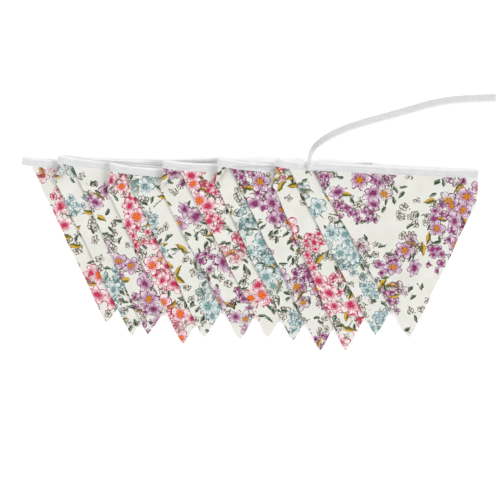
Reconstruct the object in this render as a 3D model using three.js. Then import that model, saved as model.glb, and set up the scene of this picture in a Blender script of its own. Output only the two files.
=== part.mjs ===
import * as THREE from 'three';
import { mergeVertices } from 'three/addons/utils/BufferGeometryUtils.js';

// Fabric bunting, folded back and forth and fanned out on a flat surface.
// Twelve pennants hang from one long binding tape. The tape is folded over the top edge of
// every flag, so its section is an upturned channel with the flag headings inside it.
// Each run of the tape carries one flag. Runs go right and left by turns, each on top of the
// last, and the folds between them turn the corners of every second flag.
// The bunting is described flat first: "along" is the distance down the tape from the first
// flag's corner, "down" is the distance below the tape's top edge. One function then lays any
// such point on the folded pile.
// Sizes are millimetres. +X is to the right, +Y towards the tape, +Z up from the surface.

// Flags
const FLAG_COUNT = 12;
const FLAG_WIDTH = 200;
const FLAG_GAP = 6;
const FLAG_THICK = 1.0;
const TIP_WIDTH = 3;
const HEADING_TOP = 2.5;
const HEADING_THICK = 0.5;
const HEADING_EASE = 2.7;

// Binding tape
const TAPE_WIDTH = 10;
const TAPE_LEAF = 0.4;
const SLOT_TOP = 1.5;
const CLEAR = 0.3;
const SLOT = HEADING_THICK + 2 * CLEAR;
const TAPE_THICK = SLOT + 2 * TAPE_LEAF;
const TAPE_MIDDLE = TAPE_WIDTH / 2;
const SLOT_CLOSED = 0.3;
const TIE_LEAF_SHIFT = (SLOT - SLOT_CLOSED) / 2;

// Ties at the two ends of the tape
const END_TAB = 12.6;
const UNDER_TIE = 225;
const UNDER_TIE_SEGMENTS = 8;
const TIE_STEPS = 2;

// Pile: spacing of the layers at the tape and in the flags, and how the pile slopes
const TAPE_LAYER = TAPE_THICK + CLEAR;
const CLOTH_LAYER = 1.5;
const TAPE_ZONE = -34;
const CLOTH_ZONE = -95;
const UNDER_TIE_FADE = 70;
const SIDE_SLOPE = 0.53;
const LANDING_EASE = 24;
const LANDING_SHIFT = 20;

// Folds: the left ones stand up in a soft roll, the right ones are pressed by the flags above
const LEFT_PUFF = 2.6;
const LAST_PUFF = 0.8;
const PUFF_REACH = 15;
const PUFF_FADE_FROM = 30;
const PUFF_FADE_TO = 85;
const ROLL_FLARE = 2.2;
const ROLL_FLARE_DEPTH = 25;
const CORNER_LIFT = 4;
const LAST_CORNER_LIFT = 2;
const CORNER_REACH = 22;
const BEND_SEGMENTS = 5;

// Mesh steps
const COLUMN_STEP = 21;
const ROW_STEPS = [26, 42, 62, 84, 106, 128, 150, 172];

// One row for each flag, from the bottom of the pile up.
// slope: fall of its tape to the right, in degrees. lean: how far the tip lies off the middle,
// along the tape. tip: depth of the tip below the tape's top edge. tuck: how much of the
// second flag's corner is turned by the fold that ends this run.
const FLAGS = [
  { slope: 0.5, lean: -13.8, tip: 185.3, tuck: 5.0 },
  { slope: 1.2, lean: -1.4, tip: 200.3, tuck: 12.5 },
  { slope: 4.5, lean: -0.7, tip: 192.3, tuck: 11.6 },
  { slope: 3.0, lean: -6.3, tip: 198.3, tuck: 12.8 },
  { slope: 3.0, lean: -1.8, tip: 189.3, tuck: 10.2 },
  { slope: 5.0, lean: -19.7, tip: 192.3, tuck: 14.2 },
  { slope: 0.5, lean: 2.0, tip: 197.3, tuck: 12.7 },
  { slope: 1.5, lean: -2.7, tip: 202.3, tuck: 10.7 },
  { slope: 3.0, lean: 11.9, tip: 209.3, tuck: 16.1 },
  { slope: 4.0, lean: -5.9, tip: 209.3, tuck: 10.8 },
  { slope: 2.5, lean: 6.3, tip: 192.3, tuck: 10.4 },
  { slope: 3.0, lean: -20.1, tip: 194.3, tuck: -2.0 },
];

// Soft ridges in the cloth, seen from above. They grow with the height in the pile.
// turn is the ridge's direction in degrees, length and width are its fading distances.
const RIDGES = [
  { x: 480, y: -48, turn: -40, length: 42, width: 15, height: 2.2 },
  { x: 405, y: -70, turn: -62, length: 70, width: 22, height: 2.4 },
  { x: 330, y: -118, turn: -64, length: 64, width: 20, height: 2.2 },
  { x: 425, y: -150, turn: 60, length: 52, width: 18, height: 2.2 },
  { x: 235, y: -92, turn: -62, length: 70, width: 20, height: 2.6 },
  { x: 120, y: -78, turn: -62, length: 60, width: 18, height: 3.0 },
];

// Centre line of the loose tie, from the last flag's corner to its cut end.
// bank is the tilt of the tape in degrees: it stands on its outer edge where it turns.
const TIE_PATH = [
  { x: 316.9, y: -7.0, z: 20.2, bank: 30 },
  { x: 316.0, y: -4.5, z: 21.2, bank: 52 },
  { x: 316.0, y: -0.7, z: 21.0, bank: 64 },
  { x: 317.8, y: 6.6, z: 18.4, bank: 58 },
  { x: 322.6, y: 14.6, z: 14.0, bank: 46 },
  { x: 330.4, y: 21.2, z: 9.6, bank: 32 },
  { x: 341.4, y: 27.6, z: 5.6, bank: 18 },
  { x: 356.8, y: 34.6, z: 2.6, bank: 8 },
  { x: 379.5, y: 42.2, z: 1.0, bank: 3 },
  { x: 408.0, y: 50.2, z: 0.6, bank: 0 },
  { x: 433.0, y: 57.2, z: 0.57, bank: 0 },
  { x: 456.0, y: 63.6, z: 0.55, bank: 0 },
  { x: 479.0, y: 67.6, z: 0.55, bank: 0 },
  { x: 501.8, y: 69.3, z: 0.55, bank: 0 },
  { x: 529.5, y: 70.4, z: 0.55, bank: 0 },
];

// Cotton in three colourways, used in turn along the tape, and the white tape.
const CLOTHS = [
  { color: 0xf0dedb, roughness: 0.92, metalness: 0 },
  { color: 0xe2e7e3, roughness: 0.92, metalness: 0 },
  { color: 0xe5dce4, roughness: 0.92, metalness: 0 },
];
const TAPE = { color: 0xf2f1ee, roughness: 0.9, metalness: 0 };

const PITCH = FLAG_WIDTH + FLAG_GAP;

function radians(degrees) {
  return (degrees * Math.PI) / 180;
}

function smooth(from, to, value) {
  const t = Math.min(1, Math.max(0, (value - from) / (to - from)));
  return t * t * (3 - 2 * t);
}

// Unit steps along a tape that falls to the right, and down from it, seen from above.
function alongAt(degrees) {
  return new THREE.Vector2(Math.cos(radians(degrees)), -Math.sin(radians(degrees)));
}

function downAt(degrees) {
  return new THREE.Vector2(-Math.sin(radians(degrees)), -Math.cos(radians(degrees)));
}

// Where the fold that ends a run lies along the tape. Fold 0 turns the first tie under.
function foldAlong(run) {
  if (run === 0) {
    return -END_TAB;
  }
  const tuck = FLAGS[run - 1].tuck;
  const fromStart = run * PITCH + tuck;
  const fromEnd = (run - 1) * PITCH + FLAG_WIDTH - tuck;
  return run % 2 === 1 ? fromStart : fromEnd;
}

function slopeOf(run) {
  return FLAGS[Math.max(0, run - 1)].slope;
}

function headingOf(run) {
  return run % 2 === 1 ? 1 : -1;
}

// The left folds, but for the first tie's, are soft rolls.
function isRoll(fold) {
  return fold > 0 && fold % 2 === 0;
}

function puffOf(fold) {
  if (fold === FLAG_COUNT - 1) {
    return LAST_PUFF;
  }
  return isRoll(fold) ? LEFT_PUFF : 0;
}

// Runs 0 to 12 laid end to end from the first flag's corner, each pivoting at its fold.
function layRuns() {
  const runs = [];
  const first = alongAt(slopeOf(1)).multiplyScalar(-END_TAB);
  let from = downAt(slopeOf(1)).multiplyScalar(TAPE_MIDDLE).add(first);
  runs.push({ from: from.clone(), start: foldAlong(0) });
  for (let run = 1; run <= FLAG_COUNT; run += 1) {
    const start = foldAlong(run - 1);
    runs.push({ from: from.clone(), start });
    const length = headingOf(run) * (foldAlong(run) - start);
    from = alongAt(slopeOf(run)).multiplyScalar(length).add(from);
  }
  return runs;
}

const RUNS = layRuns();

// Folds 0 to 11: where they are, which way they face and how wide their bend is.
function layFolds() {
  const folds = [];
  for (let fold = 0; fold < FLAG_COUNT; fold += 1) {
    const middle = (slopeOf(fold) + slopeOf(fold + 1)) / 2;
    const turn = radians(middle - slopeOf(fold));
    const radius = (TAPE_LAYER + puffOf(fold)) / 2;
    folds.push({
      along: foldAlong(fold),
      heading: headingOf(fold),
      turn,
      tilt: -headingOf(fold) * Math.tan(turn),
      outward: alongAt(middle).multiplyScalar(headingOf(fold)),
      radius,
      half: (Math.PI * radius) / 2,
    });
  }
  return folds;
}

const FOLDS = layFolds();

// Distance past a fold line, measured square to it on the flat cloth.
function pastFold(fold, along, down) {
  const { heading, turn } = FOLDS[fold];
  const straight = (along - FOLDS[fold].along) * Math.cos(turn);
  return straight + heading * (down - TAPE_MIDDLE) * Math.sin(turn);
}

function planOn(run, along, down) {
  const step = headingOf(run) * (along - RUNS[run].start);
  return alongAt(slopeOf(run))
    .multiplyScalar(step)
    .add(downAt(slopeOf(run)).multiplyScalar(down - TAPE_MIDDLE))
    .add(RUNS[run].from);
}

// The tape swings up a little towards each fold.
function cornerLift(fold, distance) {
  if (fold < 0 || fold >= FLAG_COUNT) {
    return 0;
  }
  const lift = fold === FLAG_COUNT - 1 ? LAST_CORNER_LIFT : CORNER_LIFT;
  return lift * Math.exp(-Math.max(0, distance) / CORNER_REACH);
}

// How far a point lies across the fan, along lines that follow the flags' right edges.
function acrossFan(point) {
  return point.x - SIDE_SLOPE * point.y;
}

// Each pair of layers comes down to the surface at the right edge of its lower flag.
function landings() {
  const places = [];
  for (let run = 1; run < FLAG_COUNT; run += 2) {
    const row = FLAGS[run - 1];
    const corner = (run - 1) * PITCH + FLAG_WIDTH;
    const tip = corner - FLAG_WIDTH / 2 + row.lean + TIP_WIDTH / 2;
    const points = [
      planOn(run, foldAlong(run), 0),
      planOn(run, foldAlong(run), TAPE_WIDTH + row.tuck / SIDE_SLOPE),
      planOn(run, corner, TAPE_WIDTH + CLEAR),
      planOn(run, tip, row.tip),
    ];
    const reach = Math.max(...points.map(acrossFan));
    places.push(run === 1 ? reach : reach - LANDING_SHIFT);
  }
  return places;
}

const LANDINGS = landings();

// Number of layer pairs that have come down to the surface, 1 at the left end of the pile.
function pairsDown(across) {
  let pair = 0;
  while (pair < LANDINGS.length - 2 && across > LANDINGS[pair + 1]) {
    pair += 1;
  }
  const gap = LANDINGS[pair + 1] - LANDINGS[pair];
  return Math.max(1, pair + 1 + (across - LANDINGS[pair]) / gap);
}

function easedPairsDown(across) {
  const taps = [0, 0.25, 0.5, 0.75, 1];
  const sum = taps.reduce((total, tap) => total + pairsDown(across - tap * LANDING_EASE), 0);
  return sum / taps.length;
}

function ridgeHeight(point) {
  let height = 0;
  for (const ridge of RIDGES) {
    const dx = point.x - ridge.x;
    const dy = point.y - ridge.y;
    const cos = Math.cos(radians(ridge.turn));
    const sin = Math.sin(radians(ridge.turn));
    const lengthwise = (dx * cos + dy * sin) / ridge.length;
    const crosswise = (dy * cos - dx * sin) / ridge.width;
    height += ridge.height * Math.exp(-lengthwise * lengthwise - crosswise * crosswise);
  }
  return height;
}

// Height of the middle of a layer. Layer 0 is the first tie, under the first run of tape.
function layerHeight(layer, point) {
  const atTape = smooth(CLOTH_ZONE, TAPE_ZONE, point.y);
  const tieEnd = UNDER_TIE - END_TAB;
  const overTie = TAPE_LAYER * (1 - smooth(tieEnd, tieEnd + UNDER_TIE_FADE, point.x));
  const base = (FLAG_THICK + (TAPE_THICK - FLAG_THICK) * atTape) / 2;
  const spacing = CLOTH_LAYER + (TAPE_LAYER - CLOTH_LAYER) * atTape;
  const steps = layer - 1 - 2 * (easedPairsDown(acrossFan(point)) - 1);
  const ridges = (ridgeHeight(point) * Math.max(0, layer - 1)) / (FLAG_COUNT - 1);
  const thinner = layer === 0 ? TIE_LEAF_SHIFT : 0;
  return base + overTie * atTape + spacing * steps + ridges - thinner;
}

function puffHeight(fold, distance, down) {
  if (fold < 0) {
    return 0;
  }
  const share = distance / PUFF_REACH;
  const fade = 1 - smooth(PUFF_FADE_FROM, PUFF_FADE_TO, down);
  return puffOf(fold) * Math.exp(-share * share) * fade;
}

function placeOnRun(run, along, down) {
  const point = planOn(run, along, down);
  let behind = 1e3;
  let ahead = 1e3;
  if (run > 0) {
    behind = pastFold(run - 1, along, down) - FOLDS[run - 1].half;
  }
  if (run < FLAG_COUNT) {
    ahead = -pastFold(run, along, down) - FOLDS[run].half;
  }
  point.y += cornerLift(run - 1, behind) + cornerLift(run, ahead);
  const height = layerHeight(run, point) + puffHeight(run - 1, behind, down);
  return new THREE.Vector3(point.x, point.y, height);
}

// A bend is half a turn from one layer up to the next. A soft roll widens below the tape.
function placeOnBend(fold, along, down, past) {
  const { half, outward, radius } = FOLDS[fold];
  const turned = (Math.PI * (past + half)) / (2 * half);
  const foot = planOn(fold, along, down).addScaledVector(outward, -half - past);
  foot.y += cornerLift(fold, 0);
  const low = layerHeight(fold, foot);
  const high = layerHeight(fold + 1, foot) + puffHeight(fold, 0, down);
  const height = (low + high) / 2 - ((high - low) / 2) * Math.cos(turned);
  const flare = isRoll(fold) ? ROLL_FLARE : 0;
  const reach = radius + flare * smooth(TAPE_WIDTH, TAPE_WIDTH + ROLL_FLARE_DEPTH, down);
  foot.addScaledVector(outward, reach * Math.sin(turned));
  return new THREE.Vector3(foot.x, foot.y, height);
}

function place(along, down) {
  for (let fold = 0; fold < FLAG_COUNT; fold += 1) {
    const past = pastFold(fold, along, down);
    if (past <= -FOLDS[fold].half) {
      return placeOnRun(fold, along, down);
    }
    if (past < FOLDS[fold].half) {
      return placeOnBend(fold, along, down, past);
    }
  }
  return placeOnRun(FLAG_COUNT, along, down);
}

// A point at some distance off the middle of the cloth, square to it.
function placeOff(along, down, off) {
  const step = 0.05;
  const alongStep = place(along + step, down).sub(place(along - step, down));
  const downStep = place(along, down + step).sub(place(along, down - step));
  const normal = alongStep.cross(downStep).normalize();
  return place(along, down).addScaledVector(normal, off);
}

// Columns of the mesh lean with the fold lines, evenly from each fold to the next.
function columnTilt(along) {
  const last = FOLDS[FLAG_COUNT - 1];
  if (along <= FOLDS[0].along) {
    return FOLDS[0].tilt;
  }
  for (let fold = 1; fold < FLAG_COUNT; fold += 1) {
    const before = FOLDS[fold - 1];
    const after = FOLDS[fold];
    if (along <= after.along) {
      const share = (along - before.along) / (after.along - before.along);
      return before.tilt + (after.tilt - before.tilt) * share;
    }
  }
  const end = foldAlong(FLAG_COUNT);
  return last.tilt * Math.max(0, (end - along) / (end - last.along));
}

function evenSteps(from, to, step) {
  const count = Math.max(1, Math.round((to - from) / step));
  return Array.from({ length: count + 1 }, (_, i) => from + ((to - from) * i) / count);
}

function bendStations(fold) {
  const { along, half } = FOLDS[fold];
  return evenSteps(along - half, along + half, (2 * half) / BEND_SEGMENTS);
}

// Stations along the tape for one flag, shared by the flag and the tape so that they nest.
function flagStations(run) {
  const from = (run - 1) * PITCH - 2;
  const to = from + FLAG_WIDTH + 4;
  if (run % 2 === 1) {
    const eased = run > 1 ? [from, from + 6] : [];
    const body = run > 1 ? from + 13 : from;
    return [...eased, ...evenSteps(body, to, COLUMN_STEP)];
  }
  const first = bendStations(run - 1);
  if (run === FLAG_COUNT) {
    const body = evenSteps(first[BEND_SEGMENTS], to, COLUMN_STEP);
    return [from, ...first.slice(0, -1), ...body];
  }
  const second = bendStations(run);
  const body = evenSteps(first[BEND_SEGMENTS], second[0], COLUMN_STEP);
  const end = second[BEND_SEGMENTS];
  return [from, ...first.slice(0, -1), ...body.slice(0, -1), ...second, (end + to) / 2, to];
}

// A cell of the mesh, cut to the outline of the flag. Both are convex.
function clip(cell, outline) {
  let kept = cell;
  outline.forEach((corner, i) => {
    const next = outline[(i + 1) % outline.length];
    const edge = next.clone().sub(corner);
    const side = (p) => edge.cross(p.clone().sub(corner));
    const result = [];
    kept.forEach((point, j) => {
      const after = kept[(j + 1) % kept.length];
      const here = side(point);
      const there = side(after);
      if (here >= 0) {
        result.push(point);
      }
      if (here * there < 0) {
        result.push(point.clone().lerp(after, here / (here - there)));
      }
    });
    kept = result;
  });
  return kept;
}

function flagOutline(number) {
  const row = FLAGS[number - 1];
  const from = (number - 1) * PITCH;
  const to = from + FLAG_WIDTH;
  const tip = (from + to) / 2 + row.lean;
  const below = TAPE_WIDTH + CLEAR;
  return [
    new THREE.Vector2(from, HEADING_TOP),
    new THREE.Vector2(to, HEADING_TOP),
    new THREE.Vector2(to, below),
    new THREE.Vector2(tip + TIP_WIDTH / 2, row.tip),
    new THREE.Vector2(tip - TIP_WIDTH / 2, row.tip),
    new THREE.Vector2(from, below),
  ];
}

// Thin inside the tape, full thickness below it.
function halfThickness(down) {
  const below = TAPE_WIDTH + CLEAR;
  const share = smooth(below, below + HEADING_EASE, down);
  return (HEADING_THICK + (FLAG_THICK - HEADING_THICK) * share) / 2;
}

// A sheet in flat coordinates: shared corners and the triangles between them.
function flagSheet(number) {
  const outline = flagOutline(number);
  const columns = flagStations(number);
  const below = TAPE_WIDTH + CLEAR;
  const inner = ROW_STEPS.filter((step) => step < FLAGS[number - 1].tip - 8);
  const rows = [HEADING_TOP, below, below + HEADING_EASE, ...inner, FLAGS[number - 1].tip];
  const corners = [];
  const known = new Map();
  const triangles = [];
  const cornerOf = (point) => {
    const key = `${point.x.toFixed(3)},${point.y.toFixed(3)}`;
    if (!known.has(key)) {
      known.set(key, corners.length);
      corners.push(point);
    }
    return known.get(key);
  };
  const node = (along, down) =>
    new THREE.Vector2(along + columnTilt(along) * (down - TAPE_MIDDLE), down);
  for (let i = 0; i + 1 < columns.length; i += 1) {
    for (let j = 0; j + 1 < rows.length; j += 1) {
      const cell = [
        node(columns[i], rows[j]),
        node(columns[i + 1], rows[j]),
        node(columns[i + 1], rows[j + 1]),
        node(columns[i], rows[j + 1]),
      ];
      const ring = [...new Set(clip(cell, outline).map(cornerOf))];
      for (let k = 1; k + 1 < ring.length; k += 1) {
        triangles.push([ring[0], ring[k], ring[k + 1]]);
      }
    }
  }
  return { corners, triangles };
}

// The sheet given its thickness: two faces and a rim along every free edge.
function flagGeometry(number) {
  const { corners, triangles } = flagSheet(number);
  const count = corners.length;
  const points = [1, -1].flatMap((side) =>
    corners.map((c) => placeOff(c.x, c.y, side * halfThickness(c.y))),
  );
  const index = [];
  const edges = new Map();
  for (const [a, b, c] of triangles) {
    index.push(a, b, c, a + count, c + count, b + count);
    for (const [from, to] of [[a, b], [b, c], [c, a]]) {
      if (!edges.delete(`${to},${from}`)) {
        edges.set(`${from},${to}`, [from, to]);
      }
    }
  }
  for (const [from, to] of edges.values()) {
    index.push(from + count, to + count, to, from + count, to, from);
  }
  const geometry = new THREE.BufferGeometry().setFromPoints(points);
  geometry.setIndex(index);
  geometry.computeVertexNormals();
  return geometry;
}

// How far the two leaves of the tape close up on each other: fully in the ties.
function closing(along) {
  const end = foldAlong(FLAG_COUNT);
  return 1 - smooth(-8, -2.5, along) + smooth(end - 1, end + 3, along);
}

function leafOff(off, closed) {
  return off - Math.sign(off) * TIE_LEAF_SHIFT * closed;
}

// A station of the sewn tape, on the pile.
function pileStation(along) {
  const tilt = columnTilt(along);
  return (down, off) =>
    placeOff(along + tilt * (down - TAPE_MIDDLE), down, leafOff(off, closing(along)));
}

// Stations of the loose tie, square to its centre line and banked in the turn.
function tieStations() {
  const start = place(foldAlong(FLAG_COUNT), TAPE_MIDDLE);
  const path = [{ x: start.x, y: start.y, z: start.z, bank: 0 }, ...TIE_PATH];
  const curve = new THREE.CatmullRomCurve3(path.map((p) => new THREE.Vector3(p.x, p.y, p.z)));
  const count = (path.length - 1) * TIE_STEPS;
  const stations = [];
  for (let i = 1; i <= count; i += 1) {
    const row = Math.min(path.length - 2, Math.floor(i / TIE_STEPS));
    const share = i / TIE_STEPS - row;
    const bank = radians(path[row].bank + (path[row + 1].bank - path[row].bank) * share);
    const centre = curve.getPoint(i / count);
    const ahead = curve.getTangent(i / count);
    const outer = new THREE.Vector3(-ahead.y, ahead.x, 0).normalize();
    const across = outer.multiplyScalar(Math.cos(bank));
    across.z = -Math.sin(bank);
    across.addScaledVector(ahead, -across.dot(ahead)).normalize();
    const face = ahead.clone().cross(across);
    stations.push((down, off) =>
      centre
        .clone()
        .addScaledVector(across, down - TAPE_MIDDLE)
        .addScaledVector(face, leafOff(off, 1)),
    );
  }
  return stations;
}

// The channel section of the tape: down the tape, and off its middle.
function tapeSection() {
  const outer = TAPE_THICK / 2;
  const inner = SLOT / 2;
  const section = new THREE.Shape();
  section.moveTo(0, -outer);
  section.lineTo(TAPE_WIDTH, -outer);
  section.lineTo(TAPE_WIDTH, -inner);
  section.lineTo(SLOT_TOP, -inner);
  section.lineTo(SLOT_TOP, inner);
  section.lineTo(TAPE_WIDTH, inner);
  section.lineTo(TAPE_WIDTH, outer);
  section.lineTo(0, outer);
  section.closePath();
  return section;
}

function tapeStations() {
  const tieEnd = -END_TAB - UNDER_TIE;
  const firstBend = bendStations(0);
  const along = evenSteps(tieEnd, firstBend[0], UNDER_TIE / UNDER_TIE_SEGMENTS).slice(0, -1);
  along.push(...firstBend, -8);
  for (let number = 1; number <= FLAG_COUNT; number += 1) {
    along.push(...flagStations(number));
  }
  return [...along.map(pileStation), ...tieStations()];
}

// The section drawn straight, one step for each station, then laid along the stations.
function tapeGeometry() {
  const stations = tapeStations();
  const steps = stations.length - 1;
  const straight = new THREE.ExtrudeGeometry(tapeSection(), {
    depth: steps,
    steps,
    bevelEnabled: false,
  });
  const position = straight.getAttribute('position');
  for (let i = 0; i < position.count; i += 1) {
    const station = stations[Math.round(position.getZ(i))];
    const point = station(position.getX(i), position.getY(i));
    position.setXYZ(i, point.x, point.y, point.z);
  }
  straight.deleteAttribute('normal');
  straight.deleteAttribute('uv');
  const geometry = mergeVertices(straight, 1e-4);
  geometry.computeVertexNormals();
  return geometry;
}

function addPart(group, name, geometry, finish) {
  const mesh = new THREE.Mesh(geometry, new THREE.MeshStandardMaterial(finish));
  mesh.name = name;
  group.add(mesh);
}

function buildBunting() {
  const group = new THREE.Group();
  addPart(group, 'binding_tape', tapeGeometry(), TAPE);
  for (let number = 1; number <= FLAG_COUNT; number += 1) {
    const name = `flag_${String(number).padStart(2, '0')}`;
    addPart(group, name, flagGeometry(number), CLOTHS[(number - 1) % CLOTHS.length]);
  }
  // The origin is the middle of the bottom of the pile's bounding box.
  const box = new THREE.Box3().setFromObject(group);
  const middle = box.getCenter(new THREE.Vector3());
  for (const mesh of group.children) {
    mesh.geometry.translate(-middle.x, -middle.y, -box.min.z);
  }
  return group;
}

export default buildBunting();
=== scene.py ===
"""Looks of a fabric bunting that lies folded in a fan.

Printed cotton pennants and their white binding tape are laid as thin cloth on the folds of the
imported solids, in the same frame. Flat cloth is described in millimetres: "along" runs down the
tape from the first pennant's corner, "down" runs from the tape's top edge to the tips.
"""

import logging
import math
from dataclasses import dataclass, field
from enum import Enum
from typing import Sequence, Tuple, Union

import bpy
import numpy as np
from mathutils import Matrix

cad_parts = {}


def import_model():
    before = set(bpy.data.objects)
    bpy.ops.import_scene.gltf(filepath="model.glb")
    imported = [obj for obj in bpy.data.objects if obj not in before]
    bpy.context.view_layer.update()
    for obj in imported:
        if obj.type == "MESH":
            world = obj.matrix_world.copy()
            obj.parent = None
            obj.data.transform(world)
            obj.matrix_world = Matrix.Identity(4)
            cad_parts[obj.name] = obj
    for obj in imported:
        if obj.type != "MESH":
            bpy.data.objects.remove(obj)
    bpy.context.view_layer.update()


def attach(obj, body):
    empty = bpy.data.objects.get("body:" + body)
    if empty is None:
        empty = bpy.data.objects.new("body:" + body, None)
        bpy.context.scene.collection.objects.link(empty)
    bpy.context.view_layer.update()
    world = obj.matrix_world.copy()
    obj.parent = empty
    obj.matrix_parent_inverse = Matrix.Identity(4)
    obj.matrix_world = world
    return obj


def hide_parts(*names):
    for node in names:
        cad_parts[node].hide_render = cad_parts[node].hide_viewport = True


LOG = logging.getLogger("bunting")
MM = 0.001
# Millimetres of flat cloth in one unit of the cloth's own coordinates
CLOTH_UNIT = 100.0

Array = np.ndarray
Value = Union[float, Sequence[float], bpy.types.Node, bpy.types.NodeSocket]

MATH = "ShaderNodeMath"
VECTOR = "ShaderNodeVectorMath"
RANGE = "ShaderNodeMapRange"
CELLS = "ShaderNodeTexVoronoi"
NOISE = "ShaderNodeTexNoise"
BLEND = "ShaderNodeMix"


def linear(code: str) -> Tuple[float, float, float, float]:
    """Turn an sRGB hex colour into linear light.

    Args:
        code: Colour such as "#f0e8d8".

    Returns:
        Red, green, blue and alpha, each 0 to 1.
    """
    parts = [int(code[i : i + 2], 16) / 255 for i in (1, 3, 5)]
    light = [c / 12.92 if c <= 0.04045 else ((c + 0.055) / 1.055) ** 2.4 for c in parts]
    return (light[0], light[1], light[2], 1.0)


def ease(low: float, high: float, value: Array) -> Array:
    """Go smoothly from 0 at low to 1 at high."""
    t = np.clip((np.asarray(value, float) - low) / (high - low), 0.0, 1.0)
    return t * t * (3 - 2 * t)


def along_at(degrees: float) -> Array:
    """Unit step along a tape that falls to the right, seen from above."""
    return np.array([math.cos(math.radians(degrees)), -math.sin(math.radians(degrees))])


def down_at(degrees: float) -> Array:
    """Unit step down from a tape that falls to the right, seen from above."""
    return np.array([-math.sin(math.radians(degrees)), -math.cos(math.radians(degrees))])


class Colourway(Enum):
    """The three printings of the cotton, in their order along the tape."""

    PINK = "pink"
    BLUE = "blue"
    PURPLE = "purple"


@dataclass(frozen=True)
class Lie:
    """How one pennant lies in the pile.

    slope is the fall of its tape to the right in degrees, lean the tip's distance off the middle,
    tip its depth below the tape's top edge, and tuck the corner turned by the fold after it.
    """

    slope: float
    lean: float
    tip: float
    tuck: float


@dataclass(frozen=True)
class Ridge:
    """A soft ridge of the cloth in plan: place, direction in degrees, reach and height."""

    x: float
    y: float
    turn: float
    length: float
    width: float
    height: float

    def at(self, x: Array, y: Array) -> Array:
        """Height of the ridge at plan points.

        Args:
            x: Plan distances to the right, in mm.
            y: Plan distances towards the tape, in mm.

        Returns:
            Height in mm at each point.
        """
        cos, sin = math.cos(math.radians(self.turn)), math.sin(math.radians(self.turn))
        dx, dy = x - self.x, y - self.y
        lengthwise = (dx * cos + dy * sin) / self.length
        crosswise = (dy * cos - dx * sin) / self.width
        return self.height * np.exp(-(lengthwise**2) - crosswise**2)


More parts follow.
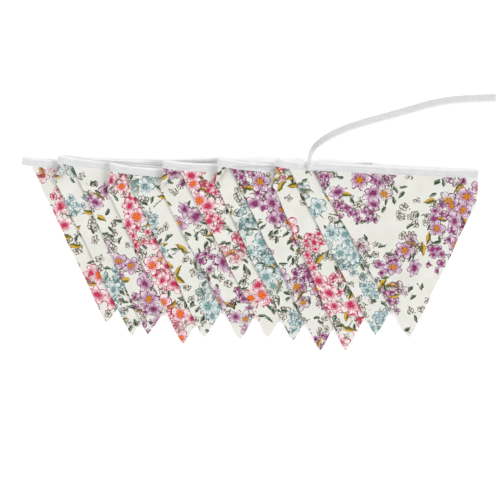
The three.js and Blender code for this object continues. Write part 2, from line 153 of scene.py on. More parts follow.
@dataclass
class FoldedPile:
    """The folded lie of the whole bunting, with the sizes that the solids have."""

    flag_count: int = 12
    flag_width: float = 200.0
    flag_gap: float = 6.0
    flag_thick: float = 1.0
    tip_width: float = 3.0
    heading_top: float = 2.5
    tape_width: float = 10.0
    tape_thick: float = 1.9
    clear: float = 0.3
    tie_shift: float = 0.4
    end_tab: float = 12.6
    under_tie: float = 225.0
    cloth_layer: float = 1.5
    tape_zone: float = -34.0
    cloth_zone: float = -95.0
    under_tie_fade: float = 70.0
    side_slope: float = 0.53
    landing_ease: float = 24.0
    landing_shift: float = 20.0
    left_puff: float = 2.6
    last_puff: float = 0.8
    puff_reach: float = 15.0
    puff_fade: Tuple[float, float] = (30.0, 85.0)
    roll_flare: float = 2.2
    roll_flare_depth: float = 25.0
    corner_lift: float = 4.0
    last_corner_lift: float = 2.0
    corner_reach: float = 22.0
    origin: Tuple[float, float, float] = (-258.581, 71.103, 0.001)
    lies: Tuple[Lie, ...] = (
        Lie(0.5, -13.8, 185.3, 5.0),
        Lie(1.2, -1.4, 200.3, 12.5),
        Lie(4.5, -0.7, 192.3, 11.6),
        Lie(3.0, -6.3, 198.3, 12.8),
        Lie(3.0, -1.8, 189.3, 10.2),
        Lie(5.0, -19.7, 192.3, 14.2),
        Lie(0.5, 2.0, 197.3, 12.7),
        Lie(1.5, -2.7, 202.3, 10.7),
        Lie(3.0, 11.9, 209.3, 16.1),
        Lie(4.0, -5.9, 209.3, 10.8),
        Lie(2.5, 6.3, 192.3, 10.4),
        Lie(3.0, -20.1, 194.3, -2.0),
    )
    ridges: Tuple[Ridge, ...] = (
        Ridge(480, -48, -40, 42, 15, 2.2),
        Ridge(405, -70, -62, 70, 22, 2.4),
        Ridge(330, -118, -64, 64, 20, 2.2),
        Ridge(425, -150, 60, 52, 18, 2.2),
        Ridge(235, -92, -62, 70, 20, 2.6),
        Ridge(120, -78, -62, 60, 18, 3.0),
    )
    starts: list = field(default_factory=list)
    landings: list = field(default_factory=list)

    def __post_init__(self) -> None:
        """Lay the runs of tape end to end and find where each pair of layers comes down."""
        self.pitch = self.flag_width + self.flag_gap
        self.tape_layer = self.tape_thick + self.clear
        self.middle = self.tape_width / 2
        point = along_at(self.slope(1)) * -self.end_tab + down_at(self.slope(1)) * self.middle
        self.starts.append(point)
        for run in range(1, self.flag_count + 1):
            self.starts.append(point)
            length = self.heading(run) * (self.fold_along(run) - self.fold_along(run - 1))
            point = point + along_at(self.slope(run)) * length
        for run in range(1, self.flag_count, 2):
            lie = self.lies[run - 1]
            corner = (run - 1) * self.pitch + self.flag_width
            tip = corner - self.flag_width / 2 + lie.lean + self.tip_width / 2
            spots = (
                (self.fold_along(run), 0.0),
                (self.fold_along(run), self.tape_width + lie.tuck / self.side_slope),
                (corner, self.tape_width + self.clear),
                (tip, lie.tip),
            )
            plan = [self.plan(run, np.array([a]), np.array([d])) for a, d in spots]
            reach = max(float(self.across(x, y)[0]) for x, y in plan)
            self.landings.append(reach if run == 1 else reach - self.landing_shift)

    def slope(self, run: int) -> float:
        """Fall of a run's tape to the right, in degrees."""
        return self.lies[max(0, run - 1)].slope

    def heading(self, run: int) -> int:
        """1 for a run laid to the right, -1 for one laid to the left."""
        return 1 if run % 2 else -1

    def is_roll(self, fold: int) -> bool:
        """Whether a fold stands up in a soft roll, as the left ones do."""
        return fold > 0 and fold % 2 == 0

    def puff(self, fold: int) -> float:
        """Height that a fold adds over its upper layer."""
        if fold == self.flag_count - 1:
            return self.last_puff
        return self.left_puff if self.is_roll(fold) else 0.0

    def radius(self, fold: int) -> float:
        """Radius of a fold's bend at the tape."""
        return (self.tape_layer + self.puff(fold)) / 2

    def half(self, fold: int) -> float:
        """Half the cloth length in a fold's bend."""
        return math.pi * self.radius(fold) / 2

    def fold_along(self, run: int) -> float:
        """Distance along the tape of the fold that ends a run."""
        if run == 0:
            return -self.end_tab
        tuck = self.lies[run - 1].tuck
        if run % 2:
            return run * self.pitch + tuck
        return (run - 1) * self.pitch + self.flag_width - tuck

    def fold_turn(self, fold: int) -> float:
        """Half the turn between the runs on both sides of a fold, in radians."""
        return math.radians((self.slope(fold + 1) - self.slope(fold)) / 2)

    def past_fold(self, fold: int, along: Array, down: Array) -> Array:
        """Distance past a fold line on the flat cloth, square to the line."""
        turn = self.fold_turn(fold)
        straight = (along - self.fold_along(fold)) * math.cos(turn)
        return straight + self.heading(fold) * (down - self.middle) * math.sin(turn)

    def plan(self, run: int, along: Array, down: Array) -> Tuple[Array, Array]:
        """Plan place of flat points on a run, before the tape's swing.

        Args:
            run: Number of the run of tape.
            along: Distances along the tape, in mm.
            down: Distances below the tape's top edge, in mm.

        Returns:
            Plan x and y in mm.
        """
        step = self.heading(run) * (along - self.fold_along(max(0, run - 1)))
        ahead, below = along_at(self.slope(run)), down_at(self.slope(run))
        start = self.starts[run]
        x = start[0] + step * ahead[0] + (down - self.middle) * below[0]
        y = start[1] + step * ahead[1] + (down - self.middle) * below[1]
        return x, y

    def lift(self, fold: int, distance: Array) -> Array:
        """How far the tape swings up near a fold."""
        if fold < 0 or fold >= self.flag_count:
            return np.zeros_like(distance)
        last = fold == self.flag_count - 1
        height = self.last_corner_lift if last else self.corner_lift
        return height * np.exp(-np.maximum(0.0, distance) / self.corner_reach)

    def across(self, x: Array, y: Array) -> Array:
        """Distance across the fan, along lines that follow the right edges."""
        return x - self.side_slope * y

    def pairs_down(self, across: Array) -> Array:
        """Number of layer pairs that have come down to the surface, eased."""
        marks = np.array(self.landings)
        total = np.zeros_like(across)
        for tap in (0.0, 0.25, 0.5, 0.75, 1.0):
            at = across - tap * self.landing_ease
            pair = np.clip(np.searchsorted(marks, at, side="left") - 1, 0, len(marks) - 2)
            share = (at - marks[pair]) / (marks[pair + 1] - marks[pair])
            total += np.maximum(1.0, pair + 1 + share)
        return total / 5

    def layer_height(self, layer: int, x: Array, y: Array) -> Array:
        """Height of the middle of a layer of cloth.

        Args:
            layer: Number of the layer, 0 for the tie under the first run.
            x: Plan distances to the right, in mm.
            y: Plan distances towards the tape, in mm.

        Returns:
            Heights above the surface, in mm.
        """
        at_tape = ease(self.cloth_zone, self.tape_zone, y)
        tie_end = self.under_tie - self.end_tab
        over_tie = self.tape_layer * (1 - ease(tie_end, tie_end + self.under_tie_fade, x))
        base = (self.flag_thick + (self.tape_thick - self.flag_thick) * at_tape) / 2
        spacing = self.cloth_layer + (self.tape_layer - self.cloth_layer) * at_tape
        steps = layer - 1 - 2 * (self.pairs_down(self.across(x, y)) - 1)
        rise = sum(ridge.at(x, y) for ridge in self.ridges)
        rise = rise * max(0, layer - 1) / (self.flag_count - 1)
        thinner = self.tie_shift if layer == 0 else 0.0
        return base + over_tie * at_tape + spacing * steps + rise - thinner

    def puff_height(self, fold: int, distance: Array, down: Array) -> Array:
        """Height that a soft fold adds near it."""
        if fold < 0:
            return np.zeros_like(distance)
        fade = 1 - ease(self.puff_fade[0], self.puff_fade[1], down)
        return self.puff(fold) * np.exp(-((distance / self.puff_reach) ** 2)) * fade

    def on_run(self, run: int, along: Array, down: Array) -> Array:
        """Place flat points that lie on a run.

        Args:
            run: Number of the run.
            along: Distances along the tape, in mm.
            down: Distances below the tape's top edge, in mm.

        Returns:
            Points in pile millimetres, one row each.
        """
        x, y = self.plan(run, along, down)
        behind = np.full_like(along, 1e3)
        ahead = np.full_like(along, 1e3)
        if run > 0:
            behind = self.past_fold(run - 1, along, down) - self.half(run - 1)
        if run < self.flag_count:
            ahead = -self.past_fold(run, along, down) - self.half(run)
        y = y + self.lift(run - 1, behind) + self.lift(run, ahead)
        z = self.layer_height(run, x, y) + self.puff_height(run - 1, behind, down)
        return np.stack([x, y, z], axis=1)

    def on_bend(self, fold: int, along: Array, down: Array, past: Array) -> Array:
        """Place flat points that lie in the bend of a fold.

        Args:
            fold: Number of the fold.
            along: Distances along the tape, in mm.
            down: Distances below the tape's top edge, in mm.
            past: Distances past the fold line, in mm.

        Returns:
            Points in pile millimetres, one row each.
        """
        half = self.half(fold)
        turned = math.pi * (past + half) / (2 * half)
        middle = (self.slope(fold) + self.slope(fold + 1)) / 2
        outward = along_at(middle) * self.heading(fold)
        x, y = self.plan(fold, along, down)
        x = x + outward[0] * (-half - past)
        y = y + outward[1] * (-half - past) + self.lift(fold, np.zeros_like(past))
        low = self.layer_height(fold, x, y)
        high = self.layer_height(fold + 1, x, y)
        high = high + self.puff_height(fold, np.zeros_like(past), down)
        flare = self.roll_flare if self.is_roll(fold) else 0.0
        depth = self.tape_width + self.roll_flare_depth
        reach = (self.radius(fold) + flare * ease(self.tape_width, depth, down)) * np.sin(turned)
        z = (low + high) / 2 - (high - low) / 2 * np.cos(turned)
        return np.stack([x + outward[0] * reach, y + outward[1] * reach, z], axis=1)

    def place(self, along: Array, down: Array) -> Array:
        """Lay flat points on the folded pile.

        Args:
            along: Distances along the tape, in mm.
            down: Distances below the tape's top edge, in mm.

        Returns:
            Points in pile millimetres, one row each.
        """
        points = np.zeros((len(along), 3))
        open_ = np.ones(len(along), bool)
        for fold in range(self.flag_count):
            past = self.past_fold(fold, along, down)
            flat = open_ & (past <= -self.half(fold))
            bend = open_ & ~flat & (past < self.half(fold))
            if flat.any():
                points[flat] = self.on_run(fold, along[flat], down[flat])
            if bend.any():
                points[bend] = self.on_bend(fold, along[bend], down[bend], past[bend])
            open_ &= ~(flat | bend)
        if open_.any():
            points[open_] = self.on_run(self.flag_count, along[open_], down[open_])
        return points

    def normals(self, along: Array, down: Array) -> Array:
        """Unit normals of the laid cloth at flat points."""
        step = 0.05
        ahead = self.place(along + step, down) - self.place(along - step, down)
        below = self.place(along, down + step) - self.place(along, down - step)
        normal = np.cross(ahead, below)
        return normal / np.linalg.norm(normal, axis=1, keepdims=True)

    def to_frame(self, points: Array) -> Array:
        """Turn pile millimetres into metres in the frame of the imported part."""
        return (points + np.array(self.origin)) * MM


class NodeBench:
    """The node tree of one material."""

    def __init__(self, name: str) -> None:
        """Start an empty material.

        Args:
            name: Name of the material.
        """
        self.material = bpy.data.materials.new(name)
        self.material.use_nodes = True
        self.tree = self.material.node_tree
        self.tree.nodes.clear()

    def add(self, kind: str, inputs: Union[dict, tuple] = (), **settings) -> bpy.types.Node:
        """Add a node with its settings and links.

        Args:
            kind: Blender's name of the node type.
            inputs: Values, nodes or sockets by place or name. A node stands for its first output.
            **settings: Properties of the node.

        Returns:
            The new node.
        """
        node = self.tree.nodes.new(kind)
        for key, value in settings.items():
            setattr(node, key, value)
        pairs = inputs.items() if isinstance(inputs, dict) else enumerate(inputs)
        for key, value in pairs:
            if isinstance(value, bpy.types.Node):
                value = value.outputs[0]
            if isinstance(value, bpy.types.NodeSocket):
                self.tree.links.new(value, node.inputs[key])
            else:
                node.inputs[key].default_value = value
        return node


def woven(bench: NodeBench, cloth: Value, thread: float) -> bpy.types.Node:
    """Draw the relief of a plain weave from the crossing waves of its threads.

    Args:
        bench: Material's nodes.
        cloth: Flat cloth coordinates in mm.
        thread: Spacing of the threads in mm.

    Returns:
        Height of the weave, from 0 to 1.
    """
    rate = math.tau / (20 * thread)
    warp, weft = (
        bench.add("ShaderNodeTexWave", {"Vector": cloth, "Scale": rate}, bands_direction=way)
        for way in ("X", "Y")
    )
    return bench.add(MATH, (warp.outputs["Fac"], weft.outputs["Fac"]), operation="MULTIPLY")


@dataclass(frozen=True)
class Inks:
    """Colours of one printing, as sRGB hex, and how far its washes run.

    wash is the share of the petal that the deep colour covers, and hearts the share of the large
    flowers with a bright heart.
    """

    tip: str
    base: str
    line: str
    heart: str
    fleck: str
    floret_tip: str
    floret_base: str
    wash: float
    hearts: float


INKS = {
    Colourway.PINK: Inks(
        "#fbefee", "#cf3468", "#b01c50", "#f07a14", "#b92d16", "#f8e0e4", "#cb3164", 0.66, 0.5
    ),
    Colourway.BLUE: Inks(
        "#e6ecea", "#b3cbcc", "#557c7f", "#84aca6", "#23504f", "#dfe8e6", "#b0c8cb", 0.55, 0.45
    ),
    Colourway.PURPLE: Inks(
        "#f3e3ed", "#a13a80", "#6c2456", "#dc901d", "#5d1c10", "#efd8e6", "#9f3b80", 0.82, 0.6
    ),
}


@dataclass(frozen=True)
class Scatter:
    """Where a motif is printed, in mm on the cloth.

    shift moves its places against those of other motifs, bunch is the middle of its patch from a
    bouquet's middle, near and far bound the patch, and share is the part of the places used.
    """

    spacing: float
    shift: Tuple[float, float]
    bunch: Tuple[float, float]
    near: float
    far: float
    share: float


@dataclass
class Spots:
    """A scatter's places: cloth turned about each one's middle, which are used, and chances.

    stalk is a thin line in each place, from its middle towards the middle of the patch.
    """

    cloth: bpy.types.Node
    local: bpy.types.Node
    there: bpy.types.Node
    stalk: bpy.types.Node
    chances: Sequence[bpy.types.NodeSocket]


@dataclass(frozen=True)
class Flower:
    """One size of pen-drawn flower, in mm on the cloth."""

    scatter: Scatter
    radius: float
    few_petals: int
    more_petals: int
    line: float
    outlined: float


@dataclass(frozen=True)
class Leaf:
    """One size of leaf, in mm from its middle to its point and to its side."""

    scatter: Scatter
    length: float
    width: float
    shade: str
    light: str


@dataclass
class FlowerMasks:
    """What a scatter of flowers gives the print, each from 0 to 1."""

    fill: bpy.types.Node
    ink: bpy.types.Node
    depth: bpy.types.Node
    heart: bpy.types.Node
    fleck: bpy.types.Node
    stalk: bpy.types.Node


@dataclass(frozen=True)
class PrintedCotton:
    """Plain-woven quilting cotton, screen printed with pen-and-wash flowers.

    The cloth is matt with a faint bloom of fibres. The print has fine ink lines over washes that
    run from deep at the flower's heart to pale at the petal tips, and a good deal of bare ground.
    """

    colourway: Colourway
    ground: str = "#e6e6e0"
    ground_shade: str = "#dfded5"
    bare: str = "#efede6"
    sprig: str = "#4d4126"
    stem: str = "#38341e"
    bouquet: float = 53.0
    thread: float = 1.2
    big: Flower = Flower(
        Scatter(18.5, (0.0, 0.0), (0.0, 0.0), -1.0, 18.5, 1.0), 12.6, 5, 6, 1.5, 0.2
    )
    small: Flower = Flower(
        Scatter(8.8, (31.0, 17.0), (24.0, -17.0), -1.0, 13.5, 1.0), 6.4, 4, 5, 1.25, 0.25
    )
    tiny: Flower = Flower(
        Scatter(10.5, (-23.0, 41.0), (-29.0, 22.0), -1.0, 25.0, 0.6), 5.6, 4, 5, 1.15, 0.0
    )
    leaves: Tuple[Leaf, ...] = (
        Leaf(
            Scatter(9.0, (13.0, 7.0), (-4.0, 6.0), 13.0, 30.0, 0.4), 5.4, 2.1, "#1b2f1a", "#7d9474"
        ),
        Leaf(
            Scatter(22.0, (47.0, 29.0), (10.0, -20.0), -1.0, 28.0, 0.55), 8.8, 3.0, "#5d5a10", "#dba51c"
        ),
    )

    def scatter(self, bench: NodeBench, cloth: Value, kind: Scatter) -> Spots:
        """Scatter the places of one motif over the cloth, in patches of the bouquets.

        Args:
            bench: Material's nodes.
            cloth: Flat cloth coordinates in mm.
            kind: Spacing and patch of the motif.

        Returns:
            The places.
        """
        add = bench.add
        spot = add(VECTOR, (cloth, (*kind.shift, 0.0)), operation="ADD")
        cells = add(
            CELLS,
            {"Vector": spot, "Scale": 1 / kind.spacing, "Randomness": 0.8},
            voronoi_dimensions="2D",
        )
        seed = cells.outputs["Position"]
        back = (kind.shift[0] + kind.bunch[0], kind.shift[1] + kind.bunch[1], 0.0)
        centre = add(VECTOR, (seed, back), operation="SUBTRACT")
        bunch = add(
            CELLS,
            {"Vector": centre, "Scale": 1 / self.bouquet, "Randomness": 0.8},
            voronoi_dimensions="2D",
        )
        one, two, three = add("ShaderNodeSeparateColor", (cells.outputs["Color"],)).outputs
        ragged = add(MATH, (two, 0.16, kind.far / self.bouquet - 0.08), operation="MULTIPLY_ADD")
        there = add(MATH, (bunch.outputs["Distance"], ragged), operation="LESS_THAN")
        if kind.near > 0:
            beyond = add(
                MATH, (bunch.outputs["Distance"], kind.near / self.bouquet), operation="GREATER_THAN"
            )
            there = add(MATH, (there, beyond), operation="MULTIPLY")
        if kind.share < 1:
            kept = add(MATH, (three, kind.share), operation="LESS_THAN")
            there = add(MATH, (there, kept), operation="MULTIPLY")
        away = add(VECTOR, (spot, seed), operation="SUBTRACT")
        angle = add(MATH, (one, math.tau), operation="MULTIPLY")
        local = add(
            "ShaderNodeVectorRotate", {"Vector": away, "Angle": angle}, rotation_type="Z_AXIS"
        )
        inward = add(VECTOR, (bunch.outputs["Position"], centre), operation="SUBTRACT")
        way = add(VECTOR, (inward,), operation="NORMALIZE")
        ahead = add(VECTOR, (away, way), operation="DOT_PRODUCT").outputs["Value"]
        cross = add(VECTOR, (away, way), operation="CROSS_PRODUCT")
        beside = add(VECTOR, (cross,), operation="LENGTH").outputs["Value"]
        thin = add(RANGE, (beside, 0.85, 0.35, 0.0, 1.0), clamp=True)
        before = add(MATH, (ahead, 0.0), operation="GREATER_THAN")
        drawn = add(MATH, (thin, before), operation="MULTIPLY")
        stalk = add(MATH, (drawn, there), operation="MULTIPLY")
        return Spots(spot, local, there, stalk, (one, two, three))

    def flowers(self, bench: NodeBench, cloth: Value, kind: Flower) -> FlowerMasks:
        """Draw one size of flower.

        Args:
            bench: Material's nodes.
            cloth: Flat cloth coordinates in mm.
            kind: Size and drawing of the flower.

        Returns:
            Masks of the wash, lines, depth of colour, heart, flecks and stalks.
        """
        add = bench.add
        inks = INKS[self.colourway]
        spots = self.scatter(bench, cloth, kind.scatter)
        one, two, three = spots.chances
        tilt = add(MATH, (two, 0.45, 1.0), operation="MULTIPLY_ADD")
        foreshort = add("ShaderNodeCombineXYZ", (1.0, tilt, 1.0))
        local = add(VECTOR, (spots.local, foreshort), operation="MULTIPLY")
        size = add(MATH, (three, 0.35 * kind.radius, 0.8 * kind.radius), operation="MULTIPLY_ADD")
        length = add(VECTOR, (local,), operation="LENGTH").outputs["Value"]
        radius = add(MATH, (length, size), operation="DIVIDE")
        axes = add("ShaderNodeSeparateXYZ", (local,))
        around = add(MATH, (axes.outputs[1], axes.outputs[0]), operation="ARCTAN2")

        many = add(MATH, (two, 0.5), operation="GREATER_THAN")
        more = float(kind.more_petals - kind.few_petals)
        count = add(MATH, (many, more, float(kind.few_petals)), operation="MULTIPLY_ADD")
        sector = add(MATH, (math.pi, count), operation="DIVIDE")
        off = add(MATH, (around, sector), operation="PINGPONG")
        cosine = add(MATH, (off,), operation="COSINE")
        sine = add(MATH, (off,), operation="SINE")
        out = add(MATH, (radius, cosine), operation="MULTIPLY")
        side = add(MATH, (radius, sine), operation="MULTIPLY")
        sector_sine = add(MATH, (sector,), operation="SINE")
        girth = add(MATH, (sector_sine, 0.64), operation="MULTIPLY")
        side_share = add(MATH, (side, girth), operation="DIVIDE")
        out_share = add(MATH, (out, 1 / 0.43, -0.57 / 0.43), operation="MULTIPLY_ADD")
        rim = add("ShaderNodeCombineXYZ", (out_share, side_share, 0.0))
        edge = add(VECTOR, (rim,), operation="LENGTH").outputs["Value"]

        wash = add(NOISE, {"Vector": spots.cloth, "Scale": 2.2 / kind.radius, "Detail": 2.0})
        middle = add(MATH, (radius, 2.2), operation="MULTIPLY")
        nearest = add(MATH, (edge, middle), operation="MINIMUM")
        inside = add(RANGE, (nearest, 1.02, 0.95, 0.0, 1.0), clamp=True)
        plain = add(MATH, (one, 1 - kind.outlined), operation="LESS_THAN")
        body = add(MATH, (plain, 0.85, 0.15), operation="MULTIPLY_ADD")
        washed = add(MATH, (inside, body), operation="MULTIPLY")
        fill = add(MATH, (washed, spots.there), operation="MULTIPLY")
        nearly = add(MATH, (edge, 0.92), operation="SUBTRACT")
        band = add(MATH, (nearly,), operation="ABSOLUTE")
        pen = kind.line / (0.43 * kind.radius)
        line = add(RANGE, (band, 0.62 * pen, 0.3 * pen, 0.0, 1.0), clamp=True)
        press = add(RANGE, (wash, 0.36, 0.5, 0.35, 1.0), clamp=True)
        pressed = add(MATH, (line, press), operation="MULTIPLY")
        strokes = add(MATH, (off, 0.16), operation="PINGPONG")
        stroke = add(RANGE, (strokes, 0.06, 0.02, 0.0, 1.0), clamp=True)
        inner = add(RANGE, (radius, 0.85, 0.45, 0.0, 1.0), clamp=True)
        vein = add(MATH, (stroke, inner), operation="MULTIPLY")
        within = add(MATH, (edge, 0.5), operation="SUBTRACT")
        inset = add(MATH, (within,), operation="ABSOLUTE")
        second = add(RANGE, (inset, 0.5 * pen, 0.2 * pen, 0.0, 1.0), clamp=True)
        patchy = add(RANGE, (wash, 0.48, 0.56, 0.0, 0.9), clamp=True)
        sketched = add(MATH, (second, patchy), operation="MULTIPLY")
        petals = add(MATH, (pressed, vein), operation="MAXIMUM")
        drawn = add(MATH, (petals, sketched), operation="MAXIMUM")
        ink = add(MATH, (drawn, spots.there), operation="MULTIPLY")
        reach = add(MATH, (wash, -0.9, 0.45 + inks.wash), operation="MULTIPLY_ADD")
        depth = add(RANGE, (radius, reach, 0.15, 0.0, 1.0), clamp=True)
        blur = add(MATH, (wash, 0.3, radius), operation="MULTIPLY_ADD")
        disc = add(RANGE, (blur, 0.5, 0.4, 0.0, 1.0), clamp=True)
        bright = add(MATH, (two, inks.hearts), operation="LESS_THAN")
        lit = add(MATH, (disc, bright), operation="MULTIPLY")
        heart = add(MATH, (lit, spots.there), operation="MULTIPLY")
        rays = add(MATH, (around, math.pi / 5), operation="PINGPONG")
        dots = add(RANGE, (rays, 0.24, 0.1, 0.0, 1.0), clamp=True)
        ring = add(RANGE, (radius, 0.46, 0.22, 0.0, 1.0), clamp=True)
        flecked = add(MATH, (dots, ring), operation="MULTIPLY")
        fleck = add(MATH, (flecked, spots.there), operation="MULTIPLY")
        return FlowerMasks(fill, ink, depth, heart, fleck, spots.stalk)

    def leaf(self, bench: NodeBench, cloth: Value, kind: Leaf) -> Tuple[Value, Value, Value]:
        """Draw one size of pointed leaf with a lighter side.

        Args:
            bench: Material's nodes.
            cloth: Flat cloth coordinates in mm.
            kind: Size and colours of the leaf.

        Returns:
            Mask of the leaves, their colour, and mask of their stalks.
        """
        add = bench.add
        spots = self.scatter(bench, cloth, kind.scatter)
        axes = add("ShaderNodeSeparateXYZ", (spots.local,))
        lengthwise = add(MATH, (axes.outputs[0], kind.length), operation="DIVIDE")
        square = add(MATH, (lengthwise, lengthwise), operation="MULTIPLY")
        taper = add(MATH, (square, -kind.width, kind.width), operation="MULTIPLY_ADD")
        bowed = add(MATH, (square, 0.4 * kind.width, axes.outputs[1]), operation="MULTIPLY_ADD")
        beside = add(MATH, (bowed,), operation="ABSOLUTE")
        gap = add(MATH, (taper, beside), operation="SUBTRACT")
        blade = add(RANGE, (gap, 0.0, 0.4, 0.0, 1.0), clamp=True)
        mask = add(MATH, (blade, spots.there), operation="MULTIPLY")
        streak = add(NOISE, {"Vector": spots.cloth, "Scale": 1 / 2.6, "Detail": 1.0})
        lit = add(MATH, (streak, 2.4, bowed), operation="MULTIPLY_ADD")
        half = add(RANGE, (lit, 1.1, 1.7, 0.0, 1.0), clamp=True)
        rim = add(RANGE, (gap, 0.45, 0.75, 0.0, 1.0), clamp=True)
        pale = add(MATH, (half, rim), operation="MULTIPLY")
        colour = add(
            BLEND, {0: pale, 6: linear(kind.shade), 7: linear(kind.light)}, data_type="RGBA"
        )
        return mask, colour.outputs[2], spots.stalk

    def printed(self, bench: NodeBench, cloth: Value) -> Value:
        """Print the ground with stems, sprigs, leaves and flowers, one over the other.

        Args:
            bench: Material's nodes.
            cloth: Flat cloth coordinates in mm.

        Returns:
            Colour of the printed cloth.
        """
        add = bench.add
        inks = INKS[self.colourway]
        # Hand-drawn wobble, so that no petal or stem is a clean curve
        wobble = add(NOISE, {"Vector": cloth, "Scale": 1 / 6.5, "Detail": 1.0})
        centred = add(VECTOR, (wobble.outputs["Color"], (0.5, 0.5, 0.5)), operation="SUBTRACT")
        nudge = add(VECTOR, {0: centred, "Scale": 4.4}, operation="SCALE")
        drawn = add(VECTOR, (cloth, nudge), operation="ADD")
        slub = add(NOISE, {"Vector": cloth, "Scale": 1 / 16.0, "Detail": 3.0})
        tone = add(RANGE, (slub, 0.3, 0.7, 0.0, 1.0), clamp=True)
        colour = add(
            BLEND,
            {0: tone, 6: linear(self.ground_shade), 7: linear(self.ground)},
            data_type="RGBA",
        ).outputs[2]
        tiny = self.flowers(bench, drawn, self.tiny)
        layers = [
            (tiny.stalk, linear(self.sprig), 0.85),
            (tiny.fill, linear(self.bare), 0.9),
            (tiny.ink, linear(self.sprig), 1.0),
        ]
        for kind in self.leaves:
            mask, paint, stalk = self.leaf(bench, drawn, kind)
            layers.append((stalk, linear(self.stem), 0.85))
            layers.append((mask, paint, 0.95))
        kinds = (
            (self.small, inks.floret_tip, inks.floret_base, inks.floret_base),
            (self.big, inks.tip, inks.base, inks.heart),
        )
        for kind, tip, base, heart in kinds:
            flower = self.flowers(bench, drawn, kind)
            wash = add(
                BLEND, {0: flower.depth, 6: linear(tip), 7: linear(base)}, data_type="RGBA"
            ).outputs[2]
            layers.append((flower.fill, wash, 0.97))
            layers.append((flower.ink, linear(inks.line), 0.97))
            layers.append((flower.heart, linear(heart), 0.95))
            layers.append((flower.fleck, linear(inks.fleck), 0.85))
        for mask, paint, strength in layers:
            amount = add(MATH, (mask, strength), operation="MULTIPLY")
            mixed = add(BLEND, {0: amount, 6: colour, 7: paint}, data_type="RGBA")
            colour = mixed.outputs[2]
        return colour

    def material(self) -> bpy.types.Material:
        """Make the printed cloth.

        Returns:
            The finished material.
        """
        bench = NodeBench(f"printed_cotton_{self.colourway.value}")
        add = bench.add
        flat = add("ShaderNodeUVMap", uv_map="flat_cloth")
        cloth = add(VECTOR, (flat, (CLOTH_UNIT, CLOTH_UNIT, 0.0)), operation="MULTIPLY")
        colour = self.printed(bench, cloth)
        # Threads of the plain weave, drawn at over twice their real spacing so that they show
        weave = woven(bench, cloth, self.thread)
        crumple = add(NOISE, {"Vector": cloth, "Scale": 1 / 13.0, "Detail": 2.0})
        relief = add(MATH, (crumple, 3.5, weave), operation="MULTIPLY_ADD")
        bump = add("ShaderNodeBump", {"Height": relief, "Strength": 0.45, "Distance": 0.0002})
        rough = add(RANGE, (crumple, 0.3, 0.7, 0.86, 0.96), clamp=True)
        shader = add(
            "ShaderNodeBsdfPrincipled",
            {
                "Base Color": colour,
                "Roughness": rough,
                "Normal": bump,
                "IOR": 1.45,
                "Specular IOR Level": 0.25,
                "Sheen Weight": 0.1,
                "Sheen Roughness": 0.5,
            },
        )
        add("ShaderNodeOutputMaterial", {"Surface": shader})
        return bench.material


@dataclass(frozen=True)
class WhiteBinding:
    """Bleached cotton bias tape, folded and pressed: white, matt, with a close slanted weave."""

    white: str = "#f7f7f7"
    shade: str = "#eeeff0"
    thread: float = 0.9

    def material(self) -> bpy.types.Material:
        """Make the tape's cloth.

        Returns:
            The finished material.
        """
        bench = NodeBench("white_bias_tape")
        add = bench.add
        flat = add("ShaderNodeUVMap", uv_map="flat_cloth")
        cloth = add(VECTOR, (flat, (CLOTH_UNIT, CLOTH_UNIT, 0.0)), operation="MULTIPLY")
        slant = add("ShaderNodeMapping", {"Vector": cloth, "Rotation": (0.0, 0.0, math.pi / 4)})
        slub = add(NOISE, {"Vector": cloth, "Scale": 1 / 9.0, "Detail": 3.0})
        tone = add(RANGE, (slub, 0.32, 0.68, 0.0, 1.0), clamp=True)
        colour = add(
            BLEND,
            {0: tone, 6: linear(self.shade), 7: linear(self.white)},
            data_type="RGBA",
        ).outputs[2]
        weave = woven(bench, slant, self.thread)
        crumple = add(NOISE, {"Vector": cloth, "Scale": 1 / 8.0, "Detail": 2.0})
        relief = add(MATH, (crumple, 4.0, weave), operation="MULTIPLY_ADD")
        bump = add("ShaderNodeBump", {"Height": relief, "Strength": 0.5, "Distance": 0.0002})
        rough = add(RANGE, (slub, 0.3, 0.7, 0.82, 0.94), clamp=True)
        shader = add(
            "ShaderNodeBsdfPrincipled",
            {
                "Base Color": colour,
                "Roughness": rough,
                "Normal": bump,
                "IOR": 1.45,
                "Specular IOR Level": 0.25,
                "Sheen Weight": 0.12,
                "Subsurface Weight": 0.4,
                "Subsurface Radius": (1.0, 1.0, 1.0),
                "Subsurface Scale": 0.003,
            },
        )
        add("ShaderNodeOutputMaterial", {"Surface": shader})
        return bench.material


@dataclass(frozen=True)
class SewingThread:
    """White polyester sewing thread: two twisted plies with a slight sheen."""

    white: str = "#eceef0"
    ply: float = 0.5

    def material(self) -> bpy.types.Material:
        """Make the thread.

        Returns:
            The finished material.
        """
        bench = NodeBench("white_sewing_thread")
        add = bench.add
        spot = add("ShaderNodeTexCoord").outputs["Object"]
        slant = add("ShaderNodeMapping", {"Vector": spot, "Rotation": (0.0, 0.0, 0.7)})
        rate = math.tau / (20 * self.ply * MM)
        plies = add("ShaderNodeTexWave", {"Vector": slant, "Scale": rate})
        # Painted shade: the colour goes to a darker grey in the grooves between the plies, where the bump
        # is low
        colour = add(
            BLEND,
            {0: plies.outputs["Fac"], 6: linear("#d3d6da"), 7: linear(self.white)},
            data_type="RGBA",
        ).outputs[2]
        bump = add(
            "ShaderNodeBump",
            {"Height": plies.outputs["Fac"], "Strength": 0.4, "Distance": 0.0001},
        )
        rough = add(RANGE, (plies.outputs["Fac"], 0.0, 1.0, 0.55, 0.7), clamp=True)
        shader = add(
            "ShaderNodeBsdfPrincipled",
            {"Base Color": colour, "Roughness": rough, "Normal": bump, "IOR": 1.5},
        )
        add("ShaderNodeOutputMaterial", {"Surface": shader})
        return bench.material


